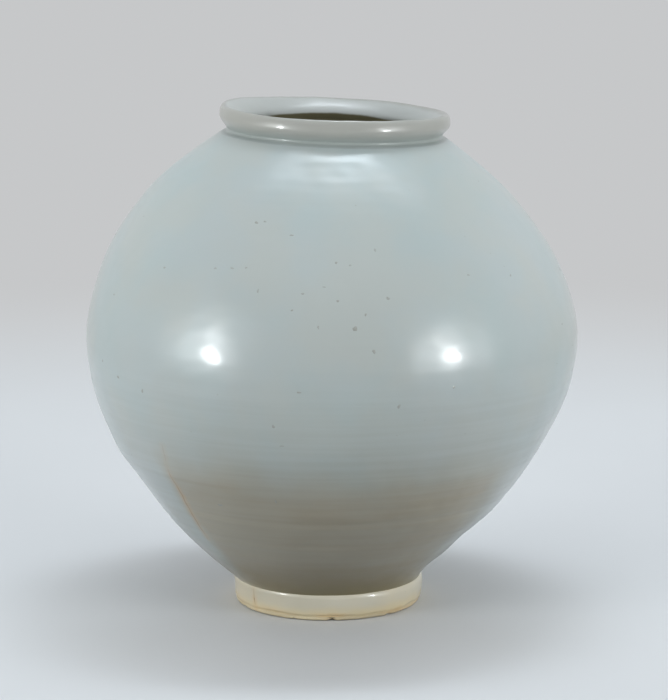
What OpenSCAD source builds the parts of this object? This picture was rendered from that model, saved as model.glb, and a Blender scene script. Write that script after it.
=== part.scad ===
// Korean moon jar: two wide bowls joined rim to rim at the belly, with a low
// mouth collar above and a foot ring below, under a milky white glaze.
// The jar stands on z = 0 with its foot centred on the origin, and +Z is up.
// The left side of the jar is -X, and the mouth dips towards +X.

/* [Overall] */
// Height from the resting plane to the middle of the mouth's ridge
jar_height = 408; // [390:1:440]
// Diameter at the widest part of the belly
belly_d = 402; // [370:1:430]
// Height of the widest part
belly_z = 222; // [216:1:235]
// Height of the line where the two bowls join
seam_z = 204; // [190:1:208]

/* [Lower bowl] */
// How far the wall's root is set in from the top of the foot ring
root_in = 0.7; // [0.3:0.1:3]
// Angle at which the wall leaves the foot, from the horizontal
lower_angle = 58; // [40:1:70]
// How long the wall keeps that angle
lower_pull = 8; // [2:1:30]
// Fullness of the lower bowl, as a share of its height
lower_full = 0.515; // [0.4:0.005:0.6]
// Thickness of the floor over the well
floor_t = 11; // [8:0.5:16]

/* [Upper bowl] */
// How far the shoulder's edge lies outside the root of the mouth
shoulder_out = 5.6; // [4:0.1:7]
// Slope of the shoulder there, from the horizontal
shoulder_angle = 32.8; // [30:0.2:36]
// How long the shoulder keeps that slope
shoulder_pull = 85; // [60:1:100]
// Fullness of the upper bowl, as a share of its height
upper_full = 0.29; // [0.2:0.01:0.4]

/* [Walls] */
// Thickness of the thrown walls
wall_t = 7.5; // [6:0.5:9]
// Thickness of the two rims at the join
rim_t = 10; // [9:0.5:13]
// How far from the join the rims stay thick
rim_reach = 32; // [20:1:50]
// Thickness of the shoulder round the mouth
top_t = 10; // [9:0.5:12]

/* [Mouth] */
// Height of the mouth, from its seat on the shoulder to the ridge
mouth_h = 21; // [18:0.5:24]
// Diameter of the mouth over its rolled lip
lip_d = 188.6; // [165:0.2:215]
// How far the lip overhangs its root
lip_out = 6.3; // [3:0.1:9]
// Depth of the lip's widest place below the ridge
lip_drop = 5.5; // [4:0.5:7]
// How far the ridge, which is the top line of the lip, is set in from its widest place
ridge_in = 2.8; // [2:0.1:4]
// Width of the collar at its root
collar_w = 11; // [9:0.5:13]
// Height at which the slanted inside of the mouth meets the throat
throat_h = 9; // [8:0.5:11]
// Tilt of the whole mouth towards the right, in degrees
mouth_tilt = 2.05; // [1:0.05:3]

/* [Foot] */
// Outer diameter of the foot ring
foot_d = 156; // [135:0.5:180]
// Height of the foot ring with its joint
foot_h = 22; // [19:0.5:26]
// Width of the foot ring
foot_w = 9; // [7:0.5:12]
// How much the ring's outside draws in towards the floor
foot_taper = 1; // [0.5:0.1:2]
// Rounding of the resting edge
foot_round = 2; // [1:0.5:2.5]
// Depth of the well inside the foot ring
well_depth = 12; // [8:0.5:14]

/* [Joints] */
// Thickness of the slip that joins two pieces of clay
slip_t = 1.2; // [0.8:0.1:2]
// Height of the bead of slip wiped over the join inside
bead_w = 12; // [8:1:20]
// Depth of that bead
bead_t = 2.5; // [1:0.5:4]
// Height of the slip smoothed round the root of the mouth
fillet_h = 4; // [3:0.5:5]

/* [Glaze] */
// Thickness of the glaze
glaze_t = 0.8; // [0.5:0.1:1.2]
// Height of the bare clay above the resting edge
bare_h = 3; // [3:0.5:5]
// Height in the throat where the outer coat meets the inner coat
coat_h = 5; // [4:0.5:6]

/* [Hidden] */
$fn = 128;
clay_colour = "#d9cdbb";
slip_colour = "#e3d9c8";
glaze_colour = "#c9ccc3";

lip_r = lip_d / 2;
root_r = lip_r - lip_out;
ridge_r = lip_r - ridge_in;
throat_r = root_r - collar_w;
shoulder_r = root_r + shoulder_out;
foot_r = foot_d / 2;
foot_in_r = foot_r - foot_w;
foot_top_r = foot_r - foot_taper * slip_t / foot_h;
wall_root_r = foot_r - root_in;
floor_z = well_depth + floor_t;
floor_u = 0.2;
// How far a blank for a coat reaches into the clay, and the depth of the clay that trims it
bite = 2;
back = 5;

// The mouth's seat is cut a little above the shoulder's edge. Because the cut
// is tilted across a cone, its ring lies to the right of the jar's axis.
seat_rise = 1;
seat_z = jar_height - mouth_h;
shoulder_z = seat_z - seat_rise;
shoulder_fall = tan(shoulder_angle);
seat_r = shoulder_r - seat_rise / shoulder_fall;
mouth_shift = seat_r * tan(mouth_tilt) / shoulder_fall;

// The fillet is a cone from the collar's root to the shoulder just past the seat's edge
fillet_run = 1.7;
fillet_tuck = 2.2;
fillet_slope = (slip_t + fillet_h + shoulder_fall * fillet_run) / (seat_r - root_r + fillet_run);
fillet_w = seat_r - root_r + fillet_run + fillet_tuck;

// The outside of the clay is two cubic curves, one above the other, that share
// an upright tangent at the widest place. The parameter u runs from 0 at the
// foot through 1 at the widest place to 2 at the shoulder, and above 2 the
// shoulder's slope goes on straight towards the mouth.
lower_curve = [[wall_root_r, foot_h],
               [wall_root_r + lower_pull * cos(lower_angle), foot_h + lower_pull * sin(lower_angle)],
               [belly_d / 2, belly_z - lower_full * (belly_z - foot_h)],
               [belly_d / 2, belly_z]];
upper_curve = [[belly_d / 2, belly_z],
               [belly_d / 2, belly_z + upper_full * (shoulder_z - belly_z)],
               [shoulder_r + shoulder_pull * cos(shoulder_angle),
                shoulder_z - shoulder_pull * sin(shoulder_angle)],
               [shoulder_r, shoulder_z]];
shoulder_run = 50;
// Where the straight shoulder has passed the throat, and where it is inside the collar's root
function u_at_shoulder(r) = 2 + (shoulder_r - r) / (shoulder_run * cos(shoulder_angle));
throat_u = u_at_shoulder(throat_r - mouth_shift - 6);
root_u = u_at_shoulder(root_r - 2);

function cubic(p, t) = pow(1 - t, 3) * p[0] + 3 * pow(1 - t, 2) * t * p[1]
                       + 3 * (1 - t) * t * t * p[2] + pow(t, 3) * p[3];
function cubic_dir(p, t) = let (d = pow(1 - t, 2) * (p[1] - p[0]) + 2 * (1 - t) * t * (p[2] - p[1])
                                    + t * t * (p[3] - p[2])) d / norm(d);
function steps(a, b, n) = [for (i = [1:n]) a + (b - a) * i / n];
function reversed(list) = [for (i = [len(list) - 1:-1:0]) list[i]];

function wall_dir(u) = u < 1 ? cubic_dir(lower_curve, u) : cubic_dir(upper_curve, min(u, 2) - 1);
function wall_pt(u) = u < 1 ? cubic(lower_curve, u)
                    : u < 2 ? cubic(upper_curve, u - 1)
                    : upper_curve[3] + (u - 2) * shoulder_run * wall_dir(2);
// A point at distance d outside the wall's outer face, or inside it if d is negative
function offset_pt(u, d) = let (t = wall_dir(u)) wall_pt(u) + d * [t[1], -t[0]];
// The parameter at a given height, and the one where the offset wall has a given radius
function u_at(z, a = 0, b = 2, n = 30) = let (m = (a + b) / 2)
    n == 0 ? m : wall_pt(m)[1] < z ? u_at(z, m, b, n - 1) : u_at(z, a, m, n - 1);
function u_out(r, d, a = 0, b = 1, n = 30) = let (m = (a + b) / 2)
    n == 0 ? m : offset_pt(m, d)[0] < r ? u_out(r, d, m, b, n - 1) : u_out(r, d, a, m, n - 1);

// The wall is thrown thin, thick at the joined rims and thick round the mouth
function hump(x) = pow(max(0, 1 - x * x), 2);
function thick(u) = wall_t + (rim_t - wall_t) * hump((wall_pt(u)[1] - seam_z) / rim_reach)
                    + (top_t - wall_t) * min(1, max(0, (u - 1.6) / 0.4));
function bead(u) = bead_t * max(0, 1 - pow((wall_pt(u)[1] - seam_z) / (bead_w / 2), 2));
function inner_pt(u, d = 0) = offset_pt(u, -thick(u) - bead(u) - d);

// Where the join's parts begin and end along the wall
bead_u = [u_at(seam_z - bead_w / 2), u_at(seam_z + bead_w / 2)];
slip_u = [u_at(seam_z - slip_t / 2), u_at(seam_z + slip_t / 2)];
low_u = concat([0], steps(0, bead_u[0], 18), steps(bead_u[0], slip_u[0], 3));
join_u = concat(steps(bead_u[0], slip_u[0], 3), steps(slip_u[0], slip_u[1], 1),
                steps(slip_u[1], bead_u[1], 3));
high_u = concat([slip_u[1]], steps(slip_u[1], bead_u[1], 3), steps(bead_u[1], 2, 24));
all_u = concat(low_u, high_u);

// The floor inside is a shallow dish that runs into the wall
floor_end = inner_pt(floor_u);
floor_curve = [[0, floor_z], [floor_end[0] * 0.45, floor_z],
               floor_end - 22 * wall_dir(floor_u), floor_end];
function floor_pt(t, d = 0) = let (s = cubic_dir(floor_curve, t)) cubic(floor_curve, t) + d * [-s[1], s[0]];
function floor_line(d = 0) = [for (i = [0:9]) floor_pt(i / 10, d)];

// Lines in the jar's own section: the outside of foot and wall, and the inside
function side_line(d, top) = let (corner = d > 0 ? u_out(foot_top_r + d, d) : 0) concat(
    [[foot_r - foot_taper + d, foot_round], [foot_top_r + d, foot_h - slip_t], offset_pt(corner, d)],
    [for (u = all_u) if (u > corner) offset_pt(u, d)],
    [offset_pt(top, d)]);
function inside_line(d, top) = concat(floor_line(d),
    [for (u = concat([floor_u], all_u)) if (u >= floor_u) inner_pt(u, d)], [inner_pt(top, d)]);

// The mouth has its own frame: its seat is a flat cut across the shoulder,
// tilted to the right, with the collar square to it
module mouth_frame() {
    translate([mouth_shift, 0, seat_z]) rotate([0, mouth_tilt, 0]) children();
}

// The collar's outside swells from an upright root to the rolled lip, and its
// inside slants from the ridge down to the throat
lip_curve = [[root_r, slip_t + fillet_h], [root_r, slip_t + fillet_h + 5],
             [lip_r, mouth_h - lip_drop - 4], [lip_r, mouth_h - lip_drop]];
round_curve = [[lip_r, mouth_h - lip_drop], [lip_r, mouth_h - lip_drop / 3],
               [ridge_r + ridge_in / 2, mouth_h], [ridge_r, mouth_h]];
slant_curve = [[ridge_r, mouth_h], [ridge_r - 3.5, mouth_h],
               [throat_r, throat_h + 4], [throat_r, throat_h]];
lip_path = concat([[lip_curve, 0]], [for (t = steps(0, 1, 5)) [lip_curve, t]],
                  [for (t = steps(0, 1, 5)) [round_curve, t]],
                  [for (t = steps(0, 1, 9)) [slant_curve, t]]);
function lip_line(d) = [for (q = lip_path) let (s = cubic_dir(q[0], q[1]))
                        cubic(q[0], q[1]) + d * [s[1], -s[0]]];
function fillet_pt(w, d) = let (n = sqrt(1 + fillet_slope * fillet_slope))
    [root_r + w + d * fillet_slope / n, slip_t + fillet_h - fillet_slope * w + d / n];
// Height at which the fillet's coat meets the collar's coat, both at distance d
function fillet_top(d) = slip_t + fillet_h + d * (sqrt(1 + fillet_slope * fillet_slope) - fillet_slope);

// Closed band between two lines of the jar's section, turned about the axis
module turned_band(from, to) {
    rotate_extrude() polygon(concat(from, reversed(to)));
}

module throat_bore(r) {
    mouth_frame() translate([0, 0, -mouth_h]) cylinder(r = r, h = 3 * mouth_h);
}

// What lies above the mouth's seat is cut off
module below_seat() {
    difference() {
        children();
        mouth_frame() translate([-seat_r, -seat_r, 0] * 1.5) cube([3 * seat_r, 3 * seat_r, 4 * mouth_h]);
    }
}

// Filled rings of clay that trim the coats to the true surfaces
module side_clay() {
    below_seat() turned_band(side_line(0, throat_u), side_line(-back, throat_u));
    mouth_frame() rotate_extrude() polygon(concat(
        [fillet_pt(fillet_w + 2, 0), fillet_pt(0, 0)], lip_line(0),
        [[throat_r, -1], [root_r - 1, -4]]));
}

module inside_clay() {
    difference() {
        turned_band(inside_line(0, throat_u), inside_line(-back, throat_u));
        throat_bore(throat_r);
    }
    mouth_frame() difference() {
        translate([0, 0, -1]) cylinder(r = throat_r + back, h = mouth_h);
        translate([0, 0, -2]) cylinder(r = throat_r, h = mouth_h + 2);
    }
}

// The lower bowl, with the boss that the foot ring fits round
module lower_bowl() {
    color(clay_colour) rotate_extrude() polygon(concat(
        [[0, well_depth], [foot_in_r, well_depth], [foot_in_r, foot_h]],
        [for (u = low_u) wall_pt(u)],
        [for (u = reversed(low_u)) if (u > floor_u) offset_pt(u, -thick(u))],
        [floor_end], reversed(floor_line())));
}

// The upper bowl, inverted, with the opening cut in what was its base
module upper_bowl() {
    section_u = concat(high_u, [throat_u]);
    color(clay_colour) difference() {
        below_seat() turned_band([for (u = section_u) wall_pt(u)],
                                 [for (u = section_u) offset_pt(u, -thick(u))]);
        throat_bore(throat_r);
    }
}

// Slip between the two rims, with the bead wiped over the join inside
module belly_slip() {
    color(slip_colour) rotate_extrude() polygon(concat(
        [wall_pt(slip_u[0]), wall_pt(slip_u[1])],
        [for (u = join_u) if (u >= slip_u[1] - 0.000001) offset_pt(u, -thick(u))],
        reversed([for (u = join_u) if (u < bead_u[1] - 0.000001) inner_pt(u)]),
        [offset_pt(bead_u[0], -thick(bead_u[0]))],
        [for (u = join_u) if (u <= slip_u[0] + 0.000001) offset_pt(u, -thick(u))]));
}

// The mouth: a short collar with a rolled lip
module mouth_collar() {
    color(clay_colour) mouth_frame() rotate_extrude() polygon(concat(
        [[throat_r, slip_t], [root_r, slip_t]], lip_line(0)));
}

// Slip under the collar, smoothed into a fillet round its root
module neck_slip() {
    color(slip_colour) difference() {
        mouth_frame() rotate_extrude() polygon([
            [throat_r, -0.5], [throat_r, slip_t], [root_r, slip_t], [root_r, slip_t + fillet_h],
            fillet_pt(fillet_w, 0), [root_r + fillet_w, -5], [root_r, -5]]);
        below_seat() turned_band(side_line(0, throat_u), side_line(-top_t, throat_u));
    }
}

// The foot ring, with its resting edge rounded on both sides
module foot_ring() {
    top = foot_h - slip_t;
    color(clay_colour) rotate_extrude() polygon(concat(
        [[foot_in_r, top], [foot_top_r, top]],
        [for (a = [0:-15:-90]) [foot_r - foot_taper - foot_round + foot_round * cos(a),
                                foot_round + foot_round * sin(a)]],
        [for (a = [-90:-15:-180]) [foot_in_r + foot_round + foot_round * cos(a),
                                   foot_round + foot_round * sin(a)]]));
}

// Slip between the foot ring and the underside of the lower bowl
module foot_slip() {
    color(slip_colour) translate([0, 0, foot_h - slip_t]) difference() {
        cylinder(r1 = foot_top_r, r2 = wall_root_r, h = slip_t);
        translate([0, 0, -1]) cylinder(r = foot_in_r, h = slip_t + 2);
    }
}

// The coat outside: from just above the resting edge, over the lip, into the throat
module outer_glaze() {
    color(glaze_colour) difference() {
        union() {
            turned_band(side_line(glaze_t, root_u), side_line(-bite, root_u));
            mouth_frame() rotate_extrude() polygon(concat(
                [fillet_pt(fillet_w, glaze_t), [root_r + glaze_t, fillet_top(glaze_t)]],
                [for (p = lip_line(glaze_t)) if (p[1] > fillet_top(glaze_t)) p],
                [[throat_r - glaze_t, coat_h], [throat_r + bite, coat_h]],
                reversed(lip_line(-bite)),
                [fillet_pt(0, -bite), fillet_pt(fillet_w, -bite)]));
        }
        side_clay();
        translate([0, 0, -5]) cylinder(r = foot_r + 10, h = 5 + bare_h);
    }
}

// The coat inside: floor, walls, the bead over the join and the throat
module inner_glaze() {
    color(glaze_colour) difference() {
        union() {
            turned_band(inside_line(glaze_t, throat_u), inside_line(-bite, throat_u));
            mouth_frame() translate([0, 0, -1.2]) cylinder(r = throat_r + bite, h = coat_h + 1.2);
        }
        inside_clay();
        throat_bore(throat_r - glaze_t);
    }
}

// The coat in the well under the foot
module foot_well_glaze() {
    color(glaze_colour) difference() {
        translate([0, 0, bare_h]) cylinder(r = foot_in_r, h = well_depth - bare_h);
        translate([0, 0, -1]) cylinder(r = foot_in_r - glaze_t, h = well_depth - glaze_t + 1);
    }
}

lower_bowl();
upper_bowl();
belly_slip();
mouth_collar();
neck_slip();
foot_ring();
foot_slip();
outer_glaze();
inner_glaze();
foot_well_glaze();
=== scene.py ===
"""A porcelain moon jar, dressed over its fixed frame.

The jar was thrown as two bowls joined rim to rim, so its rings wander and lean.
Every piece here is a turned section, leaned by one shared function, so that clay,
joins and coats stay nested. Lengths are in metres.
"""
import math

import bmesh
import bpy
import numpy as np
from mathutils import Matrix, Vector


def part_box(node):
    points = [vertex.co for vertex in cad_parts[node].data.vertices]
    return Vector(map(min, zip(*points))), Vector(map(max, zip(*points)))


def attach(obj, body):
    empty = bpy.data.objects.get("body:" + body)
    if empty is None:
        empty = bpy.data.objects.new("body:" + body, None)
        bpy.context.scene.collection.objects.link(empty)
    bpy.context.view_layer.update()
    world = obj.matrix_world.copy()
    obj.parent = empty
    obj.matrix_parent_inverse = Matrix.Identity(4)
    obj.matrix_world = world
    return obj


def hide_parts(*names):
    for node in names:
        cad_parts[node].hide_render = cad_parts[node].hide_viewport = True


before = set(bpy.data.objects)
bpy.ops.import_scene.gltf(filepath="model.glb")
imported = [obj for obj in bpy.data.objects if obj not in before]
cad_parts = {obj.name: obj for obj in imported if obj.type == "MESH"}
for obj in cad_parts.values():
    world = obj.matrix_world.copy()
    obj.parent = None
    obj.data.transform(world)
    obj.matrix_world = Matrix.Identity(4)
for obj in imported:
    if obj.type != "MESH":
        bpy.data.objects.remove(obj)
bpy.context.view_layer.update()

bl_info = {
    "name": "Moon Jar",
    "version": (1, 0, 0),
    "blender": (4, 5, 0),
    "location": "View3D > Sidebar > Moon Jar",
    "description": "Builds a leaning porcelain moon jar from its turned sections",
    "category": "Add Mesh",
}

MM = 0.001
BODY = "root"
# Columns round the jar
FINE, MEDIUM, COARSE = 512, 256, 96


def half_width(node):
    """Half of a node's width along Y, which the lean doesn't change."""
    low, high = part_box(node)
    return (high.y - low.y) / 2


def top_of(node):
    """A node's highest point."""
    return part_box(node)[1].z


def length(label, text, value):
    """A length that a user can change."""
    return bpy.props.FloatProperty(name=label, description=text, default=value, min=0.0,
                                   subtype="DISTANCE", unit="LENGTH", precision=4)


def angle(label, text, degrees):
    """An angle that a user can change."""
    return bpy.props.FloatProperty(name=label, description=text, default=math.radians(degrees),
                                   subtype="ANGLE", unit="ROTATION")


def colour(label, text, value):
    """A colour that a user can change."""
    return bpy.props.FloatVectorProperty(name=label, description=text, default=value, size=3,
                                         min=0.0, max=1.0, subtype="COLOR")


class JarSizes(bpy.types.PropertyGroup):
    """Sizes of the jar, at rest on its foot."""
    belly_r: length("Belly radius", "Radius of the clay at the widest place",
                    half_width("upper_bowl"))
    belly_z: length("Belly height", "Height of the widest place", 0.222)
    seam_z: length("Seam height", "Height of the join between the two bowls",
                   round(top_of("lower_bowl"), 3) - MM)
    root_r: length("Wall root radius", "Radius of the wall where it rises from the foot", 0.0773)
    shoulder_r: length("Shoulder radius", "Radius of the shoulder under the neck", 0.0936)
    shoulder_z: length("Shoulder height", "Height of the shoulder under the neck", 0.386)
    shoulder_slope: angle("Shoulder slope", "Slope of the shoulder at the neck", 32.8)
    wall: length("Wall", "Thickness of the thrown wall", 0.0075)
    rim: length("Joined rims", "Thickness of the wall at the belly seam", 0.010)
    seat_z: length("Mouth seat", "Height of the cut on which the collar stands", 0.387)
    collar_h: length("Collar height", "Height of the lip above the seat", 0.021)
    collar_r: length("Collar root", "Radius of the collar's root", 0.088)
    lip_r: length("Lip radius", "Radius of the rolled lip", half_width("mouth_collar"))
    ridge_r: length("Ridge radius", "Radius of the lip's highest ring", 0.0915)
    throat_r: length("Throat radius", "Radius of the opening", 0.077)
    foot_h: length("Foot height", "Height of the foot ring with its slip", top_of("foot_slip"))
    foot_r: length("Foot radius", "Radius of the foot ring", half_width("foot_ring"))
    foot_w: length("Foot width", "Thickness of the foot ring", 0.009)
    well: length("Well", "Depth of the well under the foot", top_of("foot_well_glaze"))
    floor_z: length("Inner floor", "Height of the floor inside", 0.023)
    coat: length("Coat", "Thickness of the glaze", 0.0008)
    slip: length("Slip", "Thickness of the slip in a join", 0.0012)


class JarColours(bpy.types.PropertyGroup):
    """Colours of the glaze, the clay, what stains them, and the painted shade on the glaze."""
    glaze: colour("Glaze", "The white glaze in even light", (0.405, 0.452, 0.450))
    cool: colour("Cool glaze", "Glaze where it lies thick", (0.380, 0.446, 0.442))
    warm: colour("Warm glaze", "Glaze where it lies thin", (0.430, 0.448, 0.418))
    # Blush: partly a warm flush in the glaze, partly painted shade on the lower front
    blush_and_shade: colour("Blush and shade", "The browned zone low on the front", (0.355, 0.322, 0.250))
    # Painted shade just above the foot, darkest at the front; also a faint tint in the turning
    # streaks
    shade_and_streaks: colour("Shade and streaks", "The darkest glaze, just above the foot", (0.168, 0.135, 0.058))
    lip: colour("Lip", "Glaze on the collar and lip", (0.338, 0.339, 0.309))
    foot: colour("Foot", "Glaze on the foot ring", (0.482, 0.445, 0.342))
    # Dark olive: partly the glaze's own tone, partly painted shade inside the jar and in the
    # throat
    inside: colour("Inside", "Glaze inside the jar", (0.125, 0.113, 0.060))
    well: colour("Well", "Glaze in the well under the foot", (0.400, 0.410, 0.350))
    clay: colour("Clay", "Bare fired clay", (0.600, 0.520, 0.350))
    slip: colour("Slip", "Fired slip in the joins", (0.600, 0.540, 0.440))
    rust: colour("Rust", "Iron stain on the foot and along cracks", (0.560, 0.340, 0.130))
    iron: colour("Iron", "Specks of iron in the glaze", (0.315, 0.325, 0.295))
    floor: colour("Floor", "The pale floor and background", (0.660, 0.670, 0.680))


# ---- form

# By a ring's height in mm: how far its centre lies to the right in mm, how much its plane falls to
# the right in degrees, and how many mm it is narrower than the drawn outline
DRIFT = ((0, 0), (20, 0), (27, -1.8), (60, -3), (100, -0.8), (150, -1), (204, 2.2), (250, 5.6),
         (300, 5.5), (345, 4.4), (386, 5.4), (420, 6.4))
FALL = ((0, 0), (22, 0), (110, 1.2), (204, 2.5), (300, 2.3), (386, 2.05), (420, 2.05))
EASE = ((0, 0.6), (21, 0.6), (28, 1.6), (60, 1.4), (204, 1.3), (250, 0.6), (345, 0.7), (378, 2.6),
        (392, 1.6), (420, 1.5))


def smooth_through(knots, x):
    """A smooth curve through the knots: between two of them a cubic whose slopes at its ends
    are the slopes between the neighbours on both sides."""
    at, value = np.array(knots, float).T
    slope = np.gradient(value, at)
    i = np.clip(np.searchsorted(at, x) - 1, 0, len(at) - 2)
    gap = at[i + 1] - at[i]
    t = np.clip((x - at[i]) / gap, 0, 1)
    return ((2 * t**3 - 3 * t**2 + 1) * value[i] + (t**3 - 2 * t**2 + t) * gap * slope[i]
            + (3 * t**2 - 2 * t**3) * value[i + 1] + (t**3 - t**2) * gap * slope[i + 1])


def ramp(x, low, high):
    """0 below low, 1 above high and a smooth S between them."""
    t = np.clip((x - low) / (high - low), 0, 1)
    return t * t * (3 - 2 * t)


def bump(x, centre, reach):
    """A bell of height 1: e to the minus square of the distance over the reach."""
    return np.exp(-((x - centre) / reach)**2)


def lean(r, v, a):
    """A point of the upright jar, at radius r, height v and angle a, put where the real jar has
    it: its ring moves sideways by the drift, is eased in and falls to the right by the tilt. The
    lip also sags by 0.9 mm, less in a bell round its far left, and with a wave of 0.5 mm."""
    mm = v / MM
    r = r - smooth_through(EASE, mm) * MM * (r > MM)
    across = r * np.cos(a)
    x = across + smooth_through(DRIFT, mm) * MM
    z = v - across * np.tan(np.radians(smooth_through(FALL, mm)))
    sag = 0.9 - 1.9 * bump(np.cos(a), -1, 0.35) + 0.5 * np.sin(2 * a + 0.6)
    return x, r * np.sin(a), z - ramp(v, 0.389, 0.402) * sag * MM


def waves(seed, count, shortest, longest):
    """Directions, wavelengths and phases of a few random waves."""
    rng = np.random.default_rng(seed)
    way = rng.normal(size=(count, 3))
    way /= np.linalg.norm(way, axis=1)[:, None]
    return way / rng.uniform(shortest, longest, count)[:, None], rng.uniform(0, 1, count)


def lumps(x, y, z, seed, count=9, shortest=0.035, longest=0.09):
    """A few sine waves in random directions: their sum over the square root of their number."""
    total = 0
    for (kx, ky, kz), phase in zip(*waves(seed, count, shortest, longest)):
        total = total + np.sin(2 * np.pi * (kx * x + ky * y + kz * z + phase))
    return total / math.sqrt(count)


def throwing(v, a):
    """Throwing rings, in mm: sine waves of three lengths up the wall that shift a little round
    the jar, strong on the lower body and under the neck."""
    mm = v / MM + 0.6 * np.sin(a + 0.4) + 0.4 * np.sin(3 * a + 1.0)
    strength = 0.02 + 0.12 * bump(mm, 90, 45) + 0.05 * bump(mm, 370, 18)
    wave = np.sin(2 * np.pi * mm / 11.3) + 0.8 * np.sin(2 * np.pi * mm / 17.9 + 1.7)
    wave = wave + 0.6 * np.sin(2 * np.pi * mm / 7.1 + 0.9 * np.sin(2 * a))
    return strength * wave * 0.6


def seam_mark(v, a, seam):
    """The belly seam, in mm: a low bell with a hollow one above it, and sine waves round the jar
    move both up and down."""
    mm = (v - seam) / MM + 1.3 * np.sin(2 * a + 0.5) + 0.9 * np.sin(5 * a) + 0.4 * np.sin(11 * a)
    return 0.11 * bump(mm, -1.0, 4.5) - 0.09 * bump(mm, 5.5, 4.0)


# Bulges low on the two sides, in mm: side (1 right, -1 left), height, reach and how far out
BULGES = ((1, 86, 11, 1.3), (1, 61, 8, -0.45), (1, 46, 8, 0.6), (-1, 129, 12, 1.3))


def relief(r, v, a, seam):
    """How far the glaze stands off the smooth outline, in metres: lumps, throwing rings, the
    seam and the bulges, which are bells. What sinks below 0.3 mm is squeezed and never reaches
    half a millimetre, so the clay under the coat stays covered."""
    x, y = r * np.cos(a), r * np.sin(a)
    body = ramp(v, 0.022, 0.040)
    out = 0.22 * lumps(x, y, v, 11) + 0.05 * lumps(x, y, v, 12, 12, 0.012, 0.025)
    out = out + throwing(v, a) * (1 - ramp(v, 0.384, 0.392)) + seam_mark(v, a, seam)
    for side, height, reach, far in BULGES:
        out = out + far * ramp(side * np.cos(a), 0.2, 1) * bump(v / MM, height, reach)
    sunk = -0.3 - 0.2 * np.tanh((-0.3 - out) / 0.2)
    return np.where(out < -0.3, sunk, out) * body * MM


# ---- sections

def cubic(points, count=120):
    """Points along a cubic curve with four control points."""
    p = np.array(points, float)
    t = np.linspace(0, 1, count)[:, None]
    return (1 - t)**3 * p[0] + 3 * (1 - t)**2 * t * p[1] + 3 * (1 - t) * t**2 * p[2] + t**3 * p[3]


def curves(points, count=120):
    """Cubic curves end to end: each begins with the last point of the one before."""
    return joined(*(cubic(points[i:i + 4], count) for i in range(0, len(points) - 1, 3)))


def joined(*lines):
    """Lines end to end, without repeated points."""
    line = np.vstack(lines)
    step = np.linalg.norm(np.diff(line, axis=0), axis=1)
    return line[np.concatenate([[True], step > 1e-7])]


def along(line):
    """Distance from the line's start to each of its points."""
    return np.concatenate([[0], np.cumsum(np.linalg.norm(np.diff(line, axis=0), axis=1))])


def even(line, count):
    """The line again as points evenly far apart."""
    at = along(line)
    to = np.linspace(0, at[-1], count)
    return np.stack([np.interp(to, at, line[:, 0]), np.interp(to, at, line[:, 1])], -1)


def outward(line):
    """The line's unit normals, on the outer side of a line that runs upward."""
    d = np.gradient(line, along(line), axis=0)
    d /= np.linalg.norm(d, axis=1)[:, None]
    return np.stack([d[:, 1], -d[:, 0]], -1)


def between(line, low, high):
    """The stretch of a rising line from one height to another."""
    def cut(v):
        return [np.interp(v, line[:, 1], line[:, 0]), v]
    inner = line[(line[:, 1] > low) & (line[:, 1] < high)]
    return np.vstack([cut(low), inner, cut(high)])


# The wall's curves: the angle at which they leave the root, how far their handles reach at the
# root and the shoulder, and the share of the way that they reach below and above the widest place
ROOT_RISE = math.radians(58)
ROOT_REACH, SHOULDER_REACH = 0.008, 0.085
BELLY_BELOW, BELLY_ABOVE = 0.515, 0.29
# How far the thick rims and the bead inside them reach from the seam, the bead's height, and the
# heights between which the wall thickens towards the mouth
RIM_REACH, BEAD_REACH, BEAD = 0.032, 0.006, 0.0025
THICKENS = (0.355, 0.386)
# The height at which the wall's inside turns into the floor, and the share of the radius there
# that the floor's handle reaches
FLOOR_EDGE, FLAT = 0.034, 0.45


def wall_line(s):
    """The outside of the clay, from the foot to the neck: two cubic curves that share an upright
    tangent at the widest place."""
    r, z, slope = s.belly_r, s.belly_z, s.shoulder_slope
    return curves([(s.root_r, s.foot_h), (s.root_r + ROOT_REACH * math.cos(ROOT_RISE),
                                          s.foot_h + ROOT_REACH * math.sin(ROOT_RISE)),
                   (r, z - BELLY_BELOW * (z - s.foot_h)), (r, z),
                   (r, z + BELLY_ABOVE * (s.shoulder_z - z)),
                   (s.shoulder_r + SHOULDER_REACH * math.cos(slope),
                    s.shoulder_z - SHOULDER_REACH * math.sin(slope)),
                   (s.shoulder_r, s.shoulder_z)], 400)


def hill(s, line, reach):
    """1 at the seam, falling to 0 at its reach as 1 minus the square of the share of the way."""
    return np.maximum(0, 1 - ((line[:, 1] - s.seam_z) / reach)**2)


def thickness(s, line):
    """Thickness of the clay: the wall, more at the joined rims and more round the mouth."""
    more = hill(s, line, RIM_REACH)**2 + ramp(line[:, 1], *THICKENS)
    return s.wall + (s.rim - s.wall) * more


def inner_line(s, line):
    """The inside of the clay wall, opposite a stretch of its outside, with the bead of slip that
    is wiped over the join."""
    deep = thickness(s, line) + BEAD * hill(s, line, BEAD_REACH)
    return line - outward(line) * deep[:, None]


def above_floor(line, top):
    """The stretch of an inside line from the floor's edge to a height."""
    return between(line[line[:, 1] > FLOOR_EDGE - 4 * MM], FLOOR_EDGE, top)


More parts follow.
